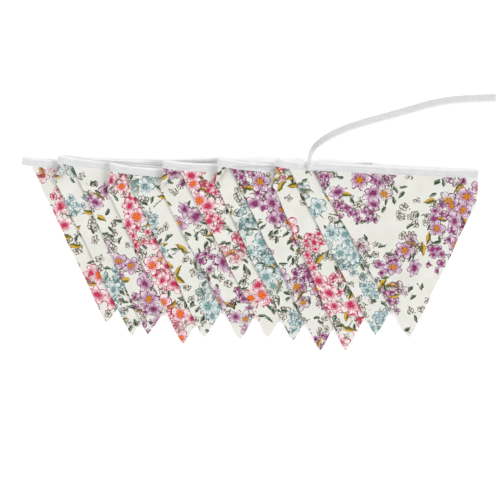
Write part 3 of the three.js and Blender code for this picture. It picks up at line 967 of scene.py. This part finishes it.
def cloth_object(
    name: str,
    points: Array,
    quads: Array,
    flat: Array,
    material: bpy.types.Material,
) -> bpy.types.Object:
    """Make a smooth-shaded piece of cloth with its flat coordinates as a UV map.

    Args:
        name: Name of the piece.
        points: Corners in metres, one row each.
        quads: Corner numbers of each four-sided face.
        flat: Flat coordinates of each face corner, in units of 100 mm.
        material: The cloth's finish.

    Returns:
        The new object, at the origin.
    """
    mesh = bpy.data.meshes.new(name)
    mesh.vertices.add(len(points))
    mesh.vertices.foreach_set("co", points.astype(np.float32).ravel())
    mesh.loops.add(quads.size)
    mesh.loops.foreach_set("vertex_index", quads.astype(np.int32).ravel())
    mesh.polygons.add(len(quads))
    mesh.polygons.foreach_set("loop_start", np.arange(0, quads.size, 4, dtype=np.int32))
    mesh.update(calc_edges=True)
    layer = mesh.uv_layers.new(name="flat_cloth")
    layer.data.foreach_set("uv", flat.astype(np.float32).ravel())
    mesh.polygons.foreach_set("use_smooth", np.ones(len(quads), bool))
    mesh.materials.append(material)
    mesh.validate()
    piece = bpy.data.objects.new(name, mesh)
    bpy.context.scene.collection.objects.link(piece)
    return piece


@dataclass
class Pennant:
    """One flag: two layers of cotton sewn, turned and pressed, with a fuller seam at its edge."""

    pile: FoldedPile
    number: int
    colourway: Colourway
    middle_thick: float = 0.5
    seam_thick: float = 0.95
    heading_thick: float = 0.45
    seam_width: float = 6.0
    edge_round: float = 0.9
    point: float = 0.6
    point_length: float = 9.0
    curl: float = 0.6
    curl_reach: float = 5.0
    curl_free: Tuple[float, float] = (40.0, 70.0)
    flat_below_tape: float = 8.0
    cut_turn: float = 0.9
    cut_step: Tuple[float, float] = (173.0, 91.0)
    back_step: Tuple[float, float] = (127.0, 231.0)
    creases: Tuple[Tuple[int, Ridge], ...] = (
        (1, Ridge(29, -52, -62, 20, 6, 0.45)),
        (2, Ridge(35, -21, -58, 12, 5, 0.7)),
        (2, Ridge(48, -36, -60, 14, 6, 0.5)),
        (2, Ridge(88, -137, -62, 24, 5, 0.35)),
        (3, Ridge(71, -63, -62, 20, 6, 0.4)),
        (3, Ridge(117, -160, -58, 16, 5, 0.4)),
        (4, Ridge(95, -30, -58, 12, 5, 0.7)),
        (4, Ridge(106, -52, -75, 12, 5, 0.4)),
        (4, Ridge(134, -120, -62, 24, 5, 0.4)),
        (5, Ridge(122, -46, -64, 22, 8, 0.45)),
        (5, Ridge(136, -38, -84, 10, 4, 0.4)),
        (5, Ridge(174, -149, -62, 20, 5, 0.4)),
        (6, Ridge(156, -23, -58, 12, 5, 0.7)),
        (6, Ridge(186, -92, -3, 14, 2.4, 0.4)),
        (6, Ridge(158, -44, -60, 14, 5, 0.4)),
        (7, Ridge(197, -74, -62, 24, 6, 0.45)),
        (7, Ridge(242, -149, 15, 10, 5, 0.4)),
        (8, Ridge(218, -17, -58, 12, 5, 0.7)),
        (8, Ridge(257, -114, -62, 28, 6, 0.4)),
        (8, Ridge(232, -60, -70, 14, 5, 0.4)),
        (9, Ridge(271, -89, -40, 22, 7, 0.45)),
        (9, Ridge(311, -149, -62, 20, 6, 0.4)),
        (10, Ridge(285, -26, -58, 12, 5, 0.7)),
        (10, Ridge(330, -86, -62, 26, 7, 0.4)),
        (10, Ridge(349, -160, 10, 10, 6, 0.45)),
        (11, Ridge(357, -97, -62, 24, 6, 0.4)),
        (11, Ridge(391, -166, 25, 12, 5, 0.45)),
        (12, Ridge(482, -31, 80, 9, 5, 0.9)),
        (12, Ridge(471, -31, 82, 9, 4, -0.35)),
        (12, Ridge(495, -35, 75, 10, 5, 0.7)),
        (12, Ridge(420, -82, 20, 40, 9, 0.8)),
        (12, Ridge(442, -117, -55, 30, 8, 0.7)),
        (12, Ridge(402, -63, -60, 35, 7, -0.35)),
        (12, Ridge(365, -74, -62, 30, 6, 0.9)),
        (12, Ridge(380, -117, -62, 24, 5, 0.8)),
        (12, Ridge(425, -171, -75, 20, 5, 0.6)),
    )
    rows: int = 92
    columns: int = 64
    corner_columns: int = 34
    corner_share: float = 0.13

    def edges(self, down: Array) -> Tuple[Array, Array]:
        """Left and right edges of the flat flag at each depth, with slight unevenness.

        Args:
            down: Depths below the tape's top edge, in mm.

        Returns:
            Distances along the tape of the start and end edges, in mm.
        """
        pile, lie = self.pile, self.pile.lies[self.number - 1]
        start = (self.number - 1) * pile.pitch
        end = start + pile.flag_width
        below = pile.tape_width + pile.clear
        tip = (start + end) / 2 + lie.lean
        share = np.clip((down - below) / (lie.tip - below), 0.0, 1.0)
        sway = np.sin(np.pi * share)
        phase = 1.7 * self.number
        first = 0.5 * np.sin(down / 11.0 + phase) + 0.3 * np.sin(down / 4.7 + 2 * phase)
        second = 0.5 * np.sin(down / 13.0 - phase) + 0.3 * np.sin(down / 5.3 - 2 * phase)
        blunt = pile.tip_width / 2 * (1 - self.point * ease(lie.tip - self.point_length, lie.tip, down))
        left = start + (tip - blunt - start) * share + first * sway
        right = end + (tip + blunt - end) * share + second * sway
        return left, right

    def half_thickness(self, inward: Array, down: Array) -> Array:
        """Half the thickness: full along the seam, thin inside it and in the tape.

        Args:
            inward: Distances from the nearest sewn edge, in mm.
            down: Depths below the tape's top edge, in mm.

        Returns:
            Half thicknesses in mm.
        """
        below = self.pile.tape_width + self.pile.clear
        seam = 1 - ease(self.seam_width - 1.5, self.seam_width + 1.5, inward)
        body = self.middle_thick + (self.seam_thick - self.middle_thick) * seam
        head = ease(below - 0.5, below + 2.0, down)
        thick = self.heading_thick + (body - self.heading_thick) * head
        bow = np.clip(1 - inward / self.edge_round, 0.0, 1.0)
        return thick / 2 * np.sqrt(np.clip(1 - 0.94 * bow**2, 0.0, 1.0))

    def grid(self) -> Tuple[Array, Array, Array]:
        """Flat grid of the flag, closer where corners are folded.

        Returns:
            Distances along, depths down, and distances from the sewn edge, as grids.
        """
        pile, lie = self.pile, self.pile.lies[self.number - 1]
        if self.number % 2:
            shares = np.linspace(0.0, 1.0, self.columns + 1)
            rim = np.array([0.0, 0.002, 0.005, 0.009])
            shares = np.unique(np.concatenate([rim, shares, 1 - rim]))
        else:
            near = np.linspace(0.0, self.corner_share, self.corner_columns + 1)
            body = np.linspace(self.corner_share, 1 - self.corner_share, self.columns - 18)
            shares = np.unique(np.round(np.concatenate([near, body, 1 - near]), 6))
        below = pile.tape_width + pile.clear
        head = np.array([pile.heading_top, pile.heading_top + 3.0, below - 0.6, below])
        body_rows = below + (lie.tip - below) * np.linspace(0.0, 1.0, self.rows + 1)[1:]
        last = lie.tip - np.array([2.4, 1.2, 0.5])
        rows = np.unique(np.concatenate([head, body_rows, last]))
        left, right = self.edges(rows)
        along = left[:, None] + (right - left)[:, None] * shares[None, :]
        down = np.repeat(rows[:, None], len(shares), axis=1)
        lean = math.cos(math.atan(0.53))
        inward = np.minimum(along - left[:, None], right[:, None] - along) * lean
        inward = np.minimum(inward, lie.tip - down)
        return along, down, np.maximum(0.0, inward)

    def relief(self, points: Array, along: Array, down: Array) -> Array:
        """Soft creases of the flag, and the lift of its free left edge.

        Args:
            points: Laid points in pile mm.
            along: Distances along the tape, in mm.
            down: Depths below the tape's top edge, in mm.

        Returns:
            Rise of each point in mm.
        """
        rise = np.zeros(len(points))
        for number, crease in self.creases:
            if number == self.number:
                rise += crease.at(points[:, 0], points[:, 1])
        left, right = self.edges(down)
        inward = along - left if self.number % 2 else right - along
        free = ease(*self.curl_free, down)
        rise += self.curl * free * np.exp(-np.maximum(0.0, inward) / self.curl_reach)
        tape = self.pile.tape_width
        return rise * ease(tape, tape + self.flat_below_tape, down)

    def build(self, material: bpy.types.Material) -> bpy.types.Object:
        """Lay the flag on its folds and give it its thickness.

        Args:
            material: Printed cloth of this flag's colourway.

        Returns:
            The flag's object.
        """
        along, down, inward = self.grid()
        height, width = along.shape
        flat_along, flat_down = along.ravel(), down.ravel()
        middle = self.pile.place(flat_along, flat_down)
        normal = self.pile.normals(flat_along, flat_down)
        half = self.half_thickness(inward.ravel(), flat_down)[:, None]
        pucker = 0.1 * np.sin(flat_along / 2.9 + self.number) * np.sin(flat_down / 3.7)
        seam = np.exp(-((inward.ravel() / self.seam_width) ** 2))
        middle = middle + normal * (pucker * seam)[:, None]
        middle[:, 2] += self.relief(middle, flat_along, flat_down)
        points = np.concatenate([middle + normal * half, middle - normal * half])

        number = np.arange(height * width).reshape(height, width)
        face = np.stack(
            [number[:-1, :-1], number[:-1, 1:], number[1:, 1:], number[1:, :-1]], axis=-1
        ).reshape(-1, 4)
        count = height * width
        rim = np.concatenate(
            [number[0, :-1], number[:-1, -1], number[-1, :0:-1], number[:0:-1, 0]]
        )
        after = np.roll(rim, -1)
        side = np.stack([rim + count, after + count, after, rim], axis=1)
        quads = np.concatenate([face, face[:, ::-1] + count, side])

        # Each flag is cut from its own place in the printed cloth, the back from another
        angle = self.cut_turn * self.number
        start = (self.number - 1) * self.pile.pitch
        cos, sin = math.cos(angle), math.sin(angle)
        u = (flat_along - start) * cos - flat_down * sin + self.cut_step[0] * self.number
        v = (flat_along - start) * sin + flat_down * cos + self.cut_step[1] * self.number
        cut = np.stack([u, v], axis=1) / CLOTH_UNIT
        both = np.concatenate([cut, cut + np.array(self.back_step) / CLOTH_UNIT])
        flat = both[quads]
        flat[len(face) * 2 :] = cut[(side % count)]
        piece = cloth_object(
            f"pennant_{self.number:02d}", self.pile.to_frame(points), quads, flat, material
        )
        self.dress(piece)
        return piece

    def dress(self, piece: bpy.types.Object) -> None:
        """Put the flag in the frame and hide its solid.

        Args:
            piece: The flag's object.
        """
        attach(piece, "root")
        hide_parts(f"flag_{self.number:02d}")


@dataclass(frozen=True)
class TiePoint:
    """A point of the loose tie's centre line in pile mm, with the tape's bank in degrees."""

    x: float
    y: float
    z: float
    bank: float


@dataclass
class BindingTape:
    """White tape folded over the flags' headings and stitched, running on as ties."""

    pile: FoldedPile
    step: float = 3.0
    bend_steps: int = 10
    leaf: float = 0.3
    tie_pressed: float = 0.42
    stitch_down: float = 8.4
    stitch_length: float = 2.5
    stitch_gap: float = 1.0
    stitch_thick: float = 0.24
    stitch_sides: int = 5
    profile: Tuple[Tuple[float, float], ...] = (
        (0.0, 0.0),
        (0.12, 0.36),
        (0.45, 0.62),
        (1.2, 0.78),
        (2.8, 0.86),
        (4.8, 0.84),
        (6.6, 0.74),
        (7.8, 0.6),
        (8.4, 0.55),
        (9.0, 0.62),
        (9.7, 0.66),
        (10.0, 0.5),
    )
    tie_path: Tuple[TiePoint, ...] = (
        TiePoint(316.9, -7.0, 20.2, 30),
        TiePoint(316.0, -4.5, 21.2, 52),
        TiePoint(316.0, -0.7, 21.0, 64),
        TiePoint(317.8, 6.6, 18.4, 58),
        TiePoint(322.6, 14.6, 14.0, 46),
        TiePoint(330.4, 21.2, 9.6, 32),
        TiePoint(341.4, 27.6, 5.6, 18),
        TiePoint(356.8, 34.6, 2.6, 8),
        TiePoint(379.5, 42.2, 1.0, 3),
        TiePoint(408.0, 50.2, 0.6, 0),
        TiePoint(433.0, 57.2, 0.57, 0),
        TiePoint(456.0, 63.6, 0.55, 0),
        TiePoint(479.0, 67.6, 0.55, 0),
        TiePoint(501.8, 69.3, 0.55, 0),
        TiePoint(529.5, 70.4, 0.55, 0),
    )

    def __post_init__(self) -> None:
        """Sample the loose tie finely, with its length, frame and bank."""
        pile = self.pile
        self.end = pile.fold_along(pile.flag_count)
        start = pile.place(np.array([self.end]), np.array([pile.middle]))[0]
        rows = np.array([[p.x, p.y, p.z] for p in self.tie_path])
        knots = np.concatenate([start[None, :], rows])
        banks = np.array([0.0] + [p.bank for p in self.tie_path])
        shares = np.linspace(0.0, len(knots) - 1.0, 16 * (len(knots) - 1) + 1)
        self.centre = np.array([self.curve(knots, t) for t in shares])
        ahead = np.gradient(self.centre, axis=0)
        ahead /= np.linalg.norm(ahead, axis=1, keepdims=True)
        bank = np.radians(np.interp(shares, np.arange(len(knots)), banks))
        outer = np.stack([-ahead[:, 1], ahead[:, 0], np.zeros(len(ahead))], axis=1)
        outer /= np.linalg.norm(outer, axis=1, keepdims=True)
        wide = outer * np.cos(bank)[:, None]
        wide[:, 2] = -np.sin(bank)
        wide -= ahead * np.sum(wide * ahead, axis=1, keepdims=True)
        self.wide = wide / np.linalg.norm(wide, axis=1, keepdims=True)
        self.face = np.cross(ahead, self.wide)
        steps = np.linalg.norm(np.diff(self.centre, axis=0), axis=1)
        self.reach = np.concatenate([[0.0], np.cumsum(steps)])

    @staticmethod
    def curve(knots: Array, at: float) -> Array:
        """Point on the smooth curve through the knots.

        Args:
            knots: Points that the curve passes through.
            at: Place on the curve, one for each stretch between knots.

        Returns:
            The point.
        """
        padded = np.concatenate([[2 * knots[0] - knots[1]], knots, [2 * knots[-1] - knots[-2]]])
        row = min(int(at), len(knots) - 2)
        t = at - row
        a, b, c, d = padded[row : row + 4]
        first = max(np.linalg.norm(b - a) ** 0.5, 1e-4)
        middle = max(np.linalg.norm(c - b) ** 0.5, 1e-4)
        last = max(np.linalg.norm(d - c) ** 0.5, 1e-4)
        leave = (b - a) / first - (c - a) / (first + middle) + (c - b) / middle
        arrive = (c - b) / middle - (d - b) / (middle + last) + (d - c) / last
        leave, arrive = leave * middle, arrive * middle
        square, cube = -3 * b + 3 * c - 2 * leave - arrive, 2 * b - 2 * c + leave + arrive
        return b + leave * t + square * t * t + cube * t**3

    def closed(self, along: Array) -> Array:
        """How far the tape's leaves close up on each other, 1 in the ties."""
        before = 1 - ease(-8.0, -2.5, along)
        return before + ease(self.end - 1, self.end + 3, along)

    def lay(self, along: Array, down: Array, off: Array) -> Array:
        """Place points of the tape, on the pile or on the loose tie.

        Args:
            along: Distances along the tape, in mm.
            down: Distances below its top edge, in mm.
            off: Distances off its middle, in mm.

        Returns:
            Points in pile mm.
        """
        points = np.zeros((len(along), 3))
        piled = along <= self.end
        if piled.any():
            a, d = along[piled], down[piled]
            normal = self.pile.normals(a, d)
            points[piled] = self.pile.place(a, d) + normal * off[piled][:, None]
        loose = ~piled
        if loose.any():
            at = along[loose] - self.end
            spot, wide, face = (
                np.stack([np.interp(at, self.reach, part[:, k]) for k in range(3)], axis=1)
                for part in (self.centre, self.wide, self.face)
            )
            shift = (down[loose] - self.pile.middle)[:, None]
            points[loose] = spot + wide * shift + face * off[loose][:, None]
        return points

    def stations(self) -> Array:
        """Distances along the tape at which it is drawn, closer in the folds.

        Returns:
            Sorted distances in mm.
        """
        pile = self.pile
        first = -pile.end_tab - pile.under_tie
        total = self.end + self.reach[-1]
        marks = [np.arange(first, self.end, self.step), np.array([self.end, total])]
        marks.append(np.arange(self.end + 1.0, total, 1.5))
        for fold in range(pile.flag_count):
            at, half = pile.fold_along(fold), pile.half(fold)
            marks.append(np.linspace(at - half, at + half, self.bend_steps + 1))
        merged = np.unique(np.round(np.concatenate(marks), 3))
        keep = np.concatenate([[True], np.diff(merged) > 0.25])
        return merged[keep]

    def section(self) -> Array:
        """Closed outline of the folded tape: down, off the middle, and leaf side.

        Returns:
            Rows of down, half thickness, sign of the side and 1 for the inner face.
        """
        outer = np.array(self.profile)
        inner = outer[outer[:, 0] > 1.5]
        front = [(d, t, 1.0, 0.0) for d, t in outer[::-1]]
        back = [(d, t, -1.0, 0.0) for d, t in outer[1:]]
        inner_back = [(d - 0.06, t, -1.0, 1.0) for d, t in inner[::-1]]
        inner_front = [(d - 0.06, t, 1.0, 1.0) for d, t in inner]
        return np.array(front + back + inner_back + inner_front)

    def build(self, cloth: bpy.types.Material) -> bpy.types.Object:
        """Make the tape as one folded strip.

        Args:
            cloth: The tape's finish.

        Returns:
            The tape's object.
        """
        stations, section = self.stations(), self.section()
        rows, ring = len(stations), len(section)
        along = np.repeat(stations, ring)
        down = np.tile(section[:, 0], rows)
        thick = np.tile(section[:, 1], rows)
        side = np.tile(section[:, 2], rows)
        inner = np.tile(section[:, 3], rows)
        closed = self.closed(along)
        wave = 0.12 * np.sin(along / 6.1) * np.sin(along / 17.0 + 1.0)
        ripple = wave * np.exp(-(((down - 10.0) / 3.0) ** 2)) * (1 - inner)
        outer = np.maximum(thick + np.where(down > 0.1, ripple, 0.0), 0.0) * (1 - self.tie_pressed * closed)
        leaf = np.where(inner > 0, self.leaf, 0.0)
        floor = np.where(inner > 0, 0.24 - 0.2 * closed, 0.0)
        off = side * np.maximum(outer - leaf, floor)
        points = self.lay(along, down, off)
        number = np.arange(rows * ring).reshape(rows, ring)
        wrapped = np.roll(number, -1, axis=1)
        quads = np.stack(
            [number[:-1], wrapped[:-1], wrapped[1:], number[1:]], axis=-1
        ).reshape(-1, 4)
        wide = np.cumsum(np.concatenate([[0.0], np.abs(np.diff(section[:, 0])) + 0.1]))
        flat = np.stack([along, np.tile(wide, rows)], axis=1) / CLOTH_UNIT
        piece = cloth_object(
            "folded_tape", self.pile.to_frame(points), quads, flat[quads], cloth
        )
        self.close_ends(piece)
        self.dress(piece, float(stations[-1] - stations[0]))
        return piece

    @staticmethod
    def close_ends(piece: bpy.types.Object) -> None:
        """Fill the two cut ends and turn all faces outwards.

        Args:
            piece: The tape's object.
        """
        bpy.ops.object.select_all(action="DESELECT")
        bpy.context.view_layer.objects.active = piece
        piece.select_set(True)
        bpy.ops.object.mode_set(mode="EDIT")
        bpy.ops.mesh.select_all(action="DESELECT")
        bpy.ops.mesh.select_non_manifold(
            extend=False, use_wire=False, use_multi_face=False, use_non_contiguous=False
        )
        bpy.ops.mesh.fill(use_beauty=True)
        bpy.ops.mesh.select_all(action="SELECT")
        bpy.ops.mesh.normals_make_consistent(inside=False)
        bpy.ops.object.mode_set(mode="OBJECT")
        piece.select_set(False)

    def dress(self, piece: bpy.types.Object, length: float) -> None:
        """Put the tape in the frame and hide its solid.

        Args:
            piece: The tape's object.
            length: Length of the tape, in mm. Not used.
        """
        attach(piece, "root")
        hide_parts("binding_tape")

    def stitch(self, thread: bpy.types.Material) -> bpy.types.Object:
        """Sew the line of stitches along both faces of the tape.

        Args:
            thread: The thread's finish.

        Returns:
            All stitches as one object.
        """
        first = -self.pile.end_tab - self.pile.under_tie + 3.0
        total = self.end + self.reach[-1] - 3.0
        starts = np.arange(first, total - self.stitch_length, self.stitch_length + self.stitch_gap)
        lengthwise = np.array([0.0, 0.18, 0.5, 0.82, 1.0]) * self.stitch_length
        sink = np.array([-0.12, 0.06, 0.09, 0.06, -0.12])
        girth = np.array([0.45, 0.9, 1.0, 0.9, 0.45]) * self.stitch_thick
        angles = np.arange(self.stitch_sides) * math.tau / self.stitch_sides
        base = float(np.interp(self.stitch_down, *np.array(self.profile).T))
        blocks, faces, count = [], [], 0
        rings, sides = len(lengthwise), self.stitch_sides
        for face in (1.0, -1.0):
            along = (starts[:, None] + lengthwise[None, :])[:, :, None]
            along = np.broadcast_to(along, (len(starts), rings, sides)).ravel()
            sway = 0.12 * np.sin(along / 3.1) + 0.2 * np.sin(along / 41.0)
            round_down = np.broadcast_to(
                (girth[:, None] * np.cos(angles))[None], (len(starts), rings, sides)
            ).ravel()
            round_off = np.broadcast_to(
                (sink[:, None] + 0.7 * girth[:, None] * np.sin(angles))[None],
                (len(starts), rings, sides),
            ).ravel()
            surface = base * (1 - self.tie_pressed * self.closed(along))
            off = face * (surface + round_off)
            blocks.append(self.lay(along, self.stitch_down + sway + round_down, off))
            number = np.arange(len(along)).reshape(len(starts), rings, sides) + count
            count += len(along)
            wrapped = np.roll(number, -1, axis=2)
            quads = np.stack(
                [number[:, :-1], wrapped[:, :-1], wrapped[:, 1:], number[:, 1:]], axis=-1
            ).reshape(-1, 4)
            faces.append(quads if face < 0 else quads[:, ::-1])
        quads = np.concatenate(faces)
        points = self.pile.to_frame(np.concatenate(blocks))
        piece = cloth_object(
            "tape_stitches", points, quads, np.zeros((len(quads), 4, 2)), thread
        )
        self.close_ends(piece)
        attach(piece, "root")
        return piece


@dataclass(frozen=True)
class Lamp:
    """A square soft light that points at the bunting: place and side in metres, power in watts."""

    name: str
    place: Tuple[float, float, float]
    side: float
    power: float


@dataclass
class Studio:
    """White table, soft light from the right, and a camera straight above."""

    field_width: float = 0.5715
    centre: Tuple[float, float] = (-0.0105, -0.0318)
    height: float = 2.6
    sensor: float = 36.0
    floor_side: float = 8.0
    floor_glow: float = 0.25
    room_light: float = 0.53
    lamps: Tuple[Lamp, ...] = (
        Lamp("key", (6.0, -2.0, 4.2), 2.6, 320.0),
        Lamp("fill", (-2.3, -0.3, 2.0), 2.0, 40.0),
    )

    def floor(self) -> bpy.types.Object:
        """Lay the white surface that the bunting lies on.

        Returns:
            The floor's object.
        """
        bpy.ops.object.select_all(action="DESELECT")
        bpy.ops.mesh.primitive_plane_add(size=self.floor_side, location=(0.0, 0.0, 0.0))
        floor = bpy.context.object
        floor.name = "table_top"
        bench = NodeBench("white_table")
        shader = bench.add(
            "ShaderNodeBsdfPrincipled",
            {
                "Base Color": linear("#fbfbfb"),
                "Roughness": 0.9,
                "Specular IOR Level": 0.1,
                "Emission Color": (1.0, 1.0, 1.0, 1.0),
                "Emission Strength": self.floor_glow,
            },
        )
        bench.add("ShaderNodeOutputMaterial", {"Surface": shader})
        floor.data.materials.append(bench.material)
        return floor

    @staticmethod
    def hang(lamp: Lamp) -> None:
        """Hang a light and turn it to the bunting.

        Args:
            lamp: The light.
        """
        data = bpy.data.lights.new(lamp.name, "AREA")
        data.shape = "SQUARE"
        data.size = lamp.side
        data.energy = lamp.power
        piece = bpy.data.objects.new(lamp.name, data)
        piece.location = lamp.place
        x, y, z = lamp.place
        piece.rotation_euler = (math.atan2(math.hypot(x, y), z), 0.0, math.atan2(x, -y))
        bpy.context.scene.collection.objects.link(piece)

    def light(self) -> None:
        """Set the soft room light and the lamps."""
        world = bpy.data.worlds.new("studio")
        world.use_nodes = True
        back = world.node_tree.nodes["Background"]
        back.inputs["Color"].default_value = (1.0, 1.0, 1.0, 1.0)
        back.inputs["Strength"].default_value = self.room_light
        bpy.context.scene.world = world
        for lamp in self.lamps:
            self.hang(lamp)

    def camera(self) -> None:
        """Put the camera above the bunting, with the photograph's field of view."""
        data = bpy.data.cameras.new("above")
        data.sensor_width = self.sensor
        data.lens = self.sensor * self.height / self.field_width
        camera = bpy.data.objects.new("above", data)
        camera.location = (self.centre[0], self.centre[1], self.height)
        bpy.context.scene.collection.objects.link(camera)
        bpy.context.scene.camera = camera

    def build(self) -> None:
        """Make the floor, the lights and the camera."""
        self.floor()
        self.light()
        self.camera()
        bpy.context.scene.view_settings.view_transform = "Standard"


def main() -> None:
    """Build the bunting's pieces in order and note the sizes."""
    logging.basicConfig(level=logging.INFO)
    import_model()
    Studio().build()
    pile = FoldedPile()
    ways = list(Colourway)
    cloths = {way: PrintedCotton(way).material() for way in ways}
    for number in range(1, pile.flag_count + 1):
        way = ways[(number - 1) % len(ways)]
        piece = Pennant(pile, number, way).build(cloths[way])
        LOG.info("%s: %d faces", piece.name, len(piece.data.polygons))
    tape = BindingTape(pile)
    for piece in (tape.build(WhiteBinding().material()), tape.stitch(SewingThread().material())):
        LOG.info("%s: %d faces", piece.name, len(piece.data.polygons))


if __name__ == "__main__":
    main()
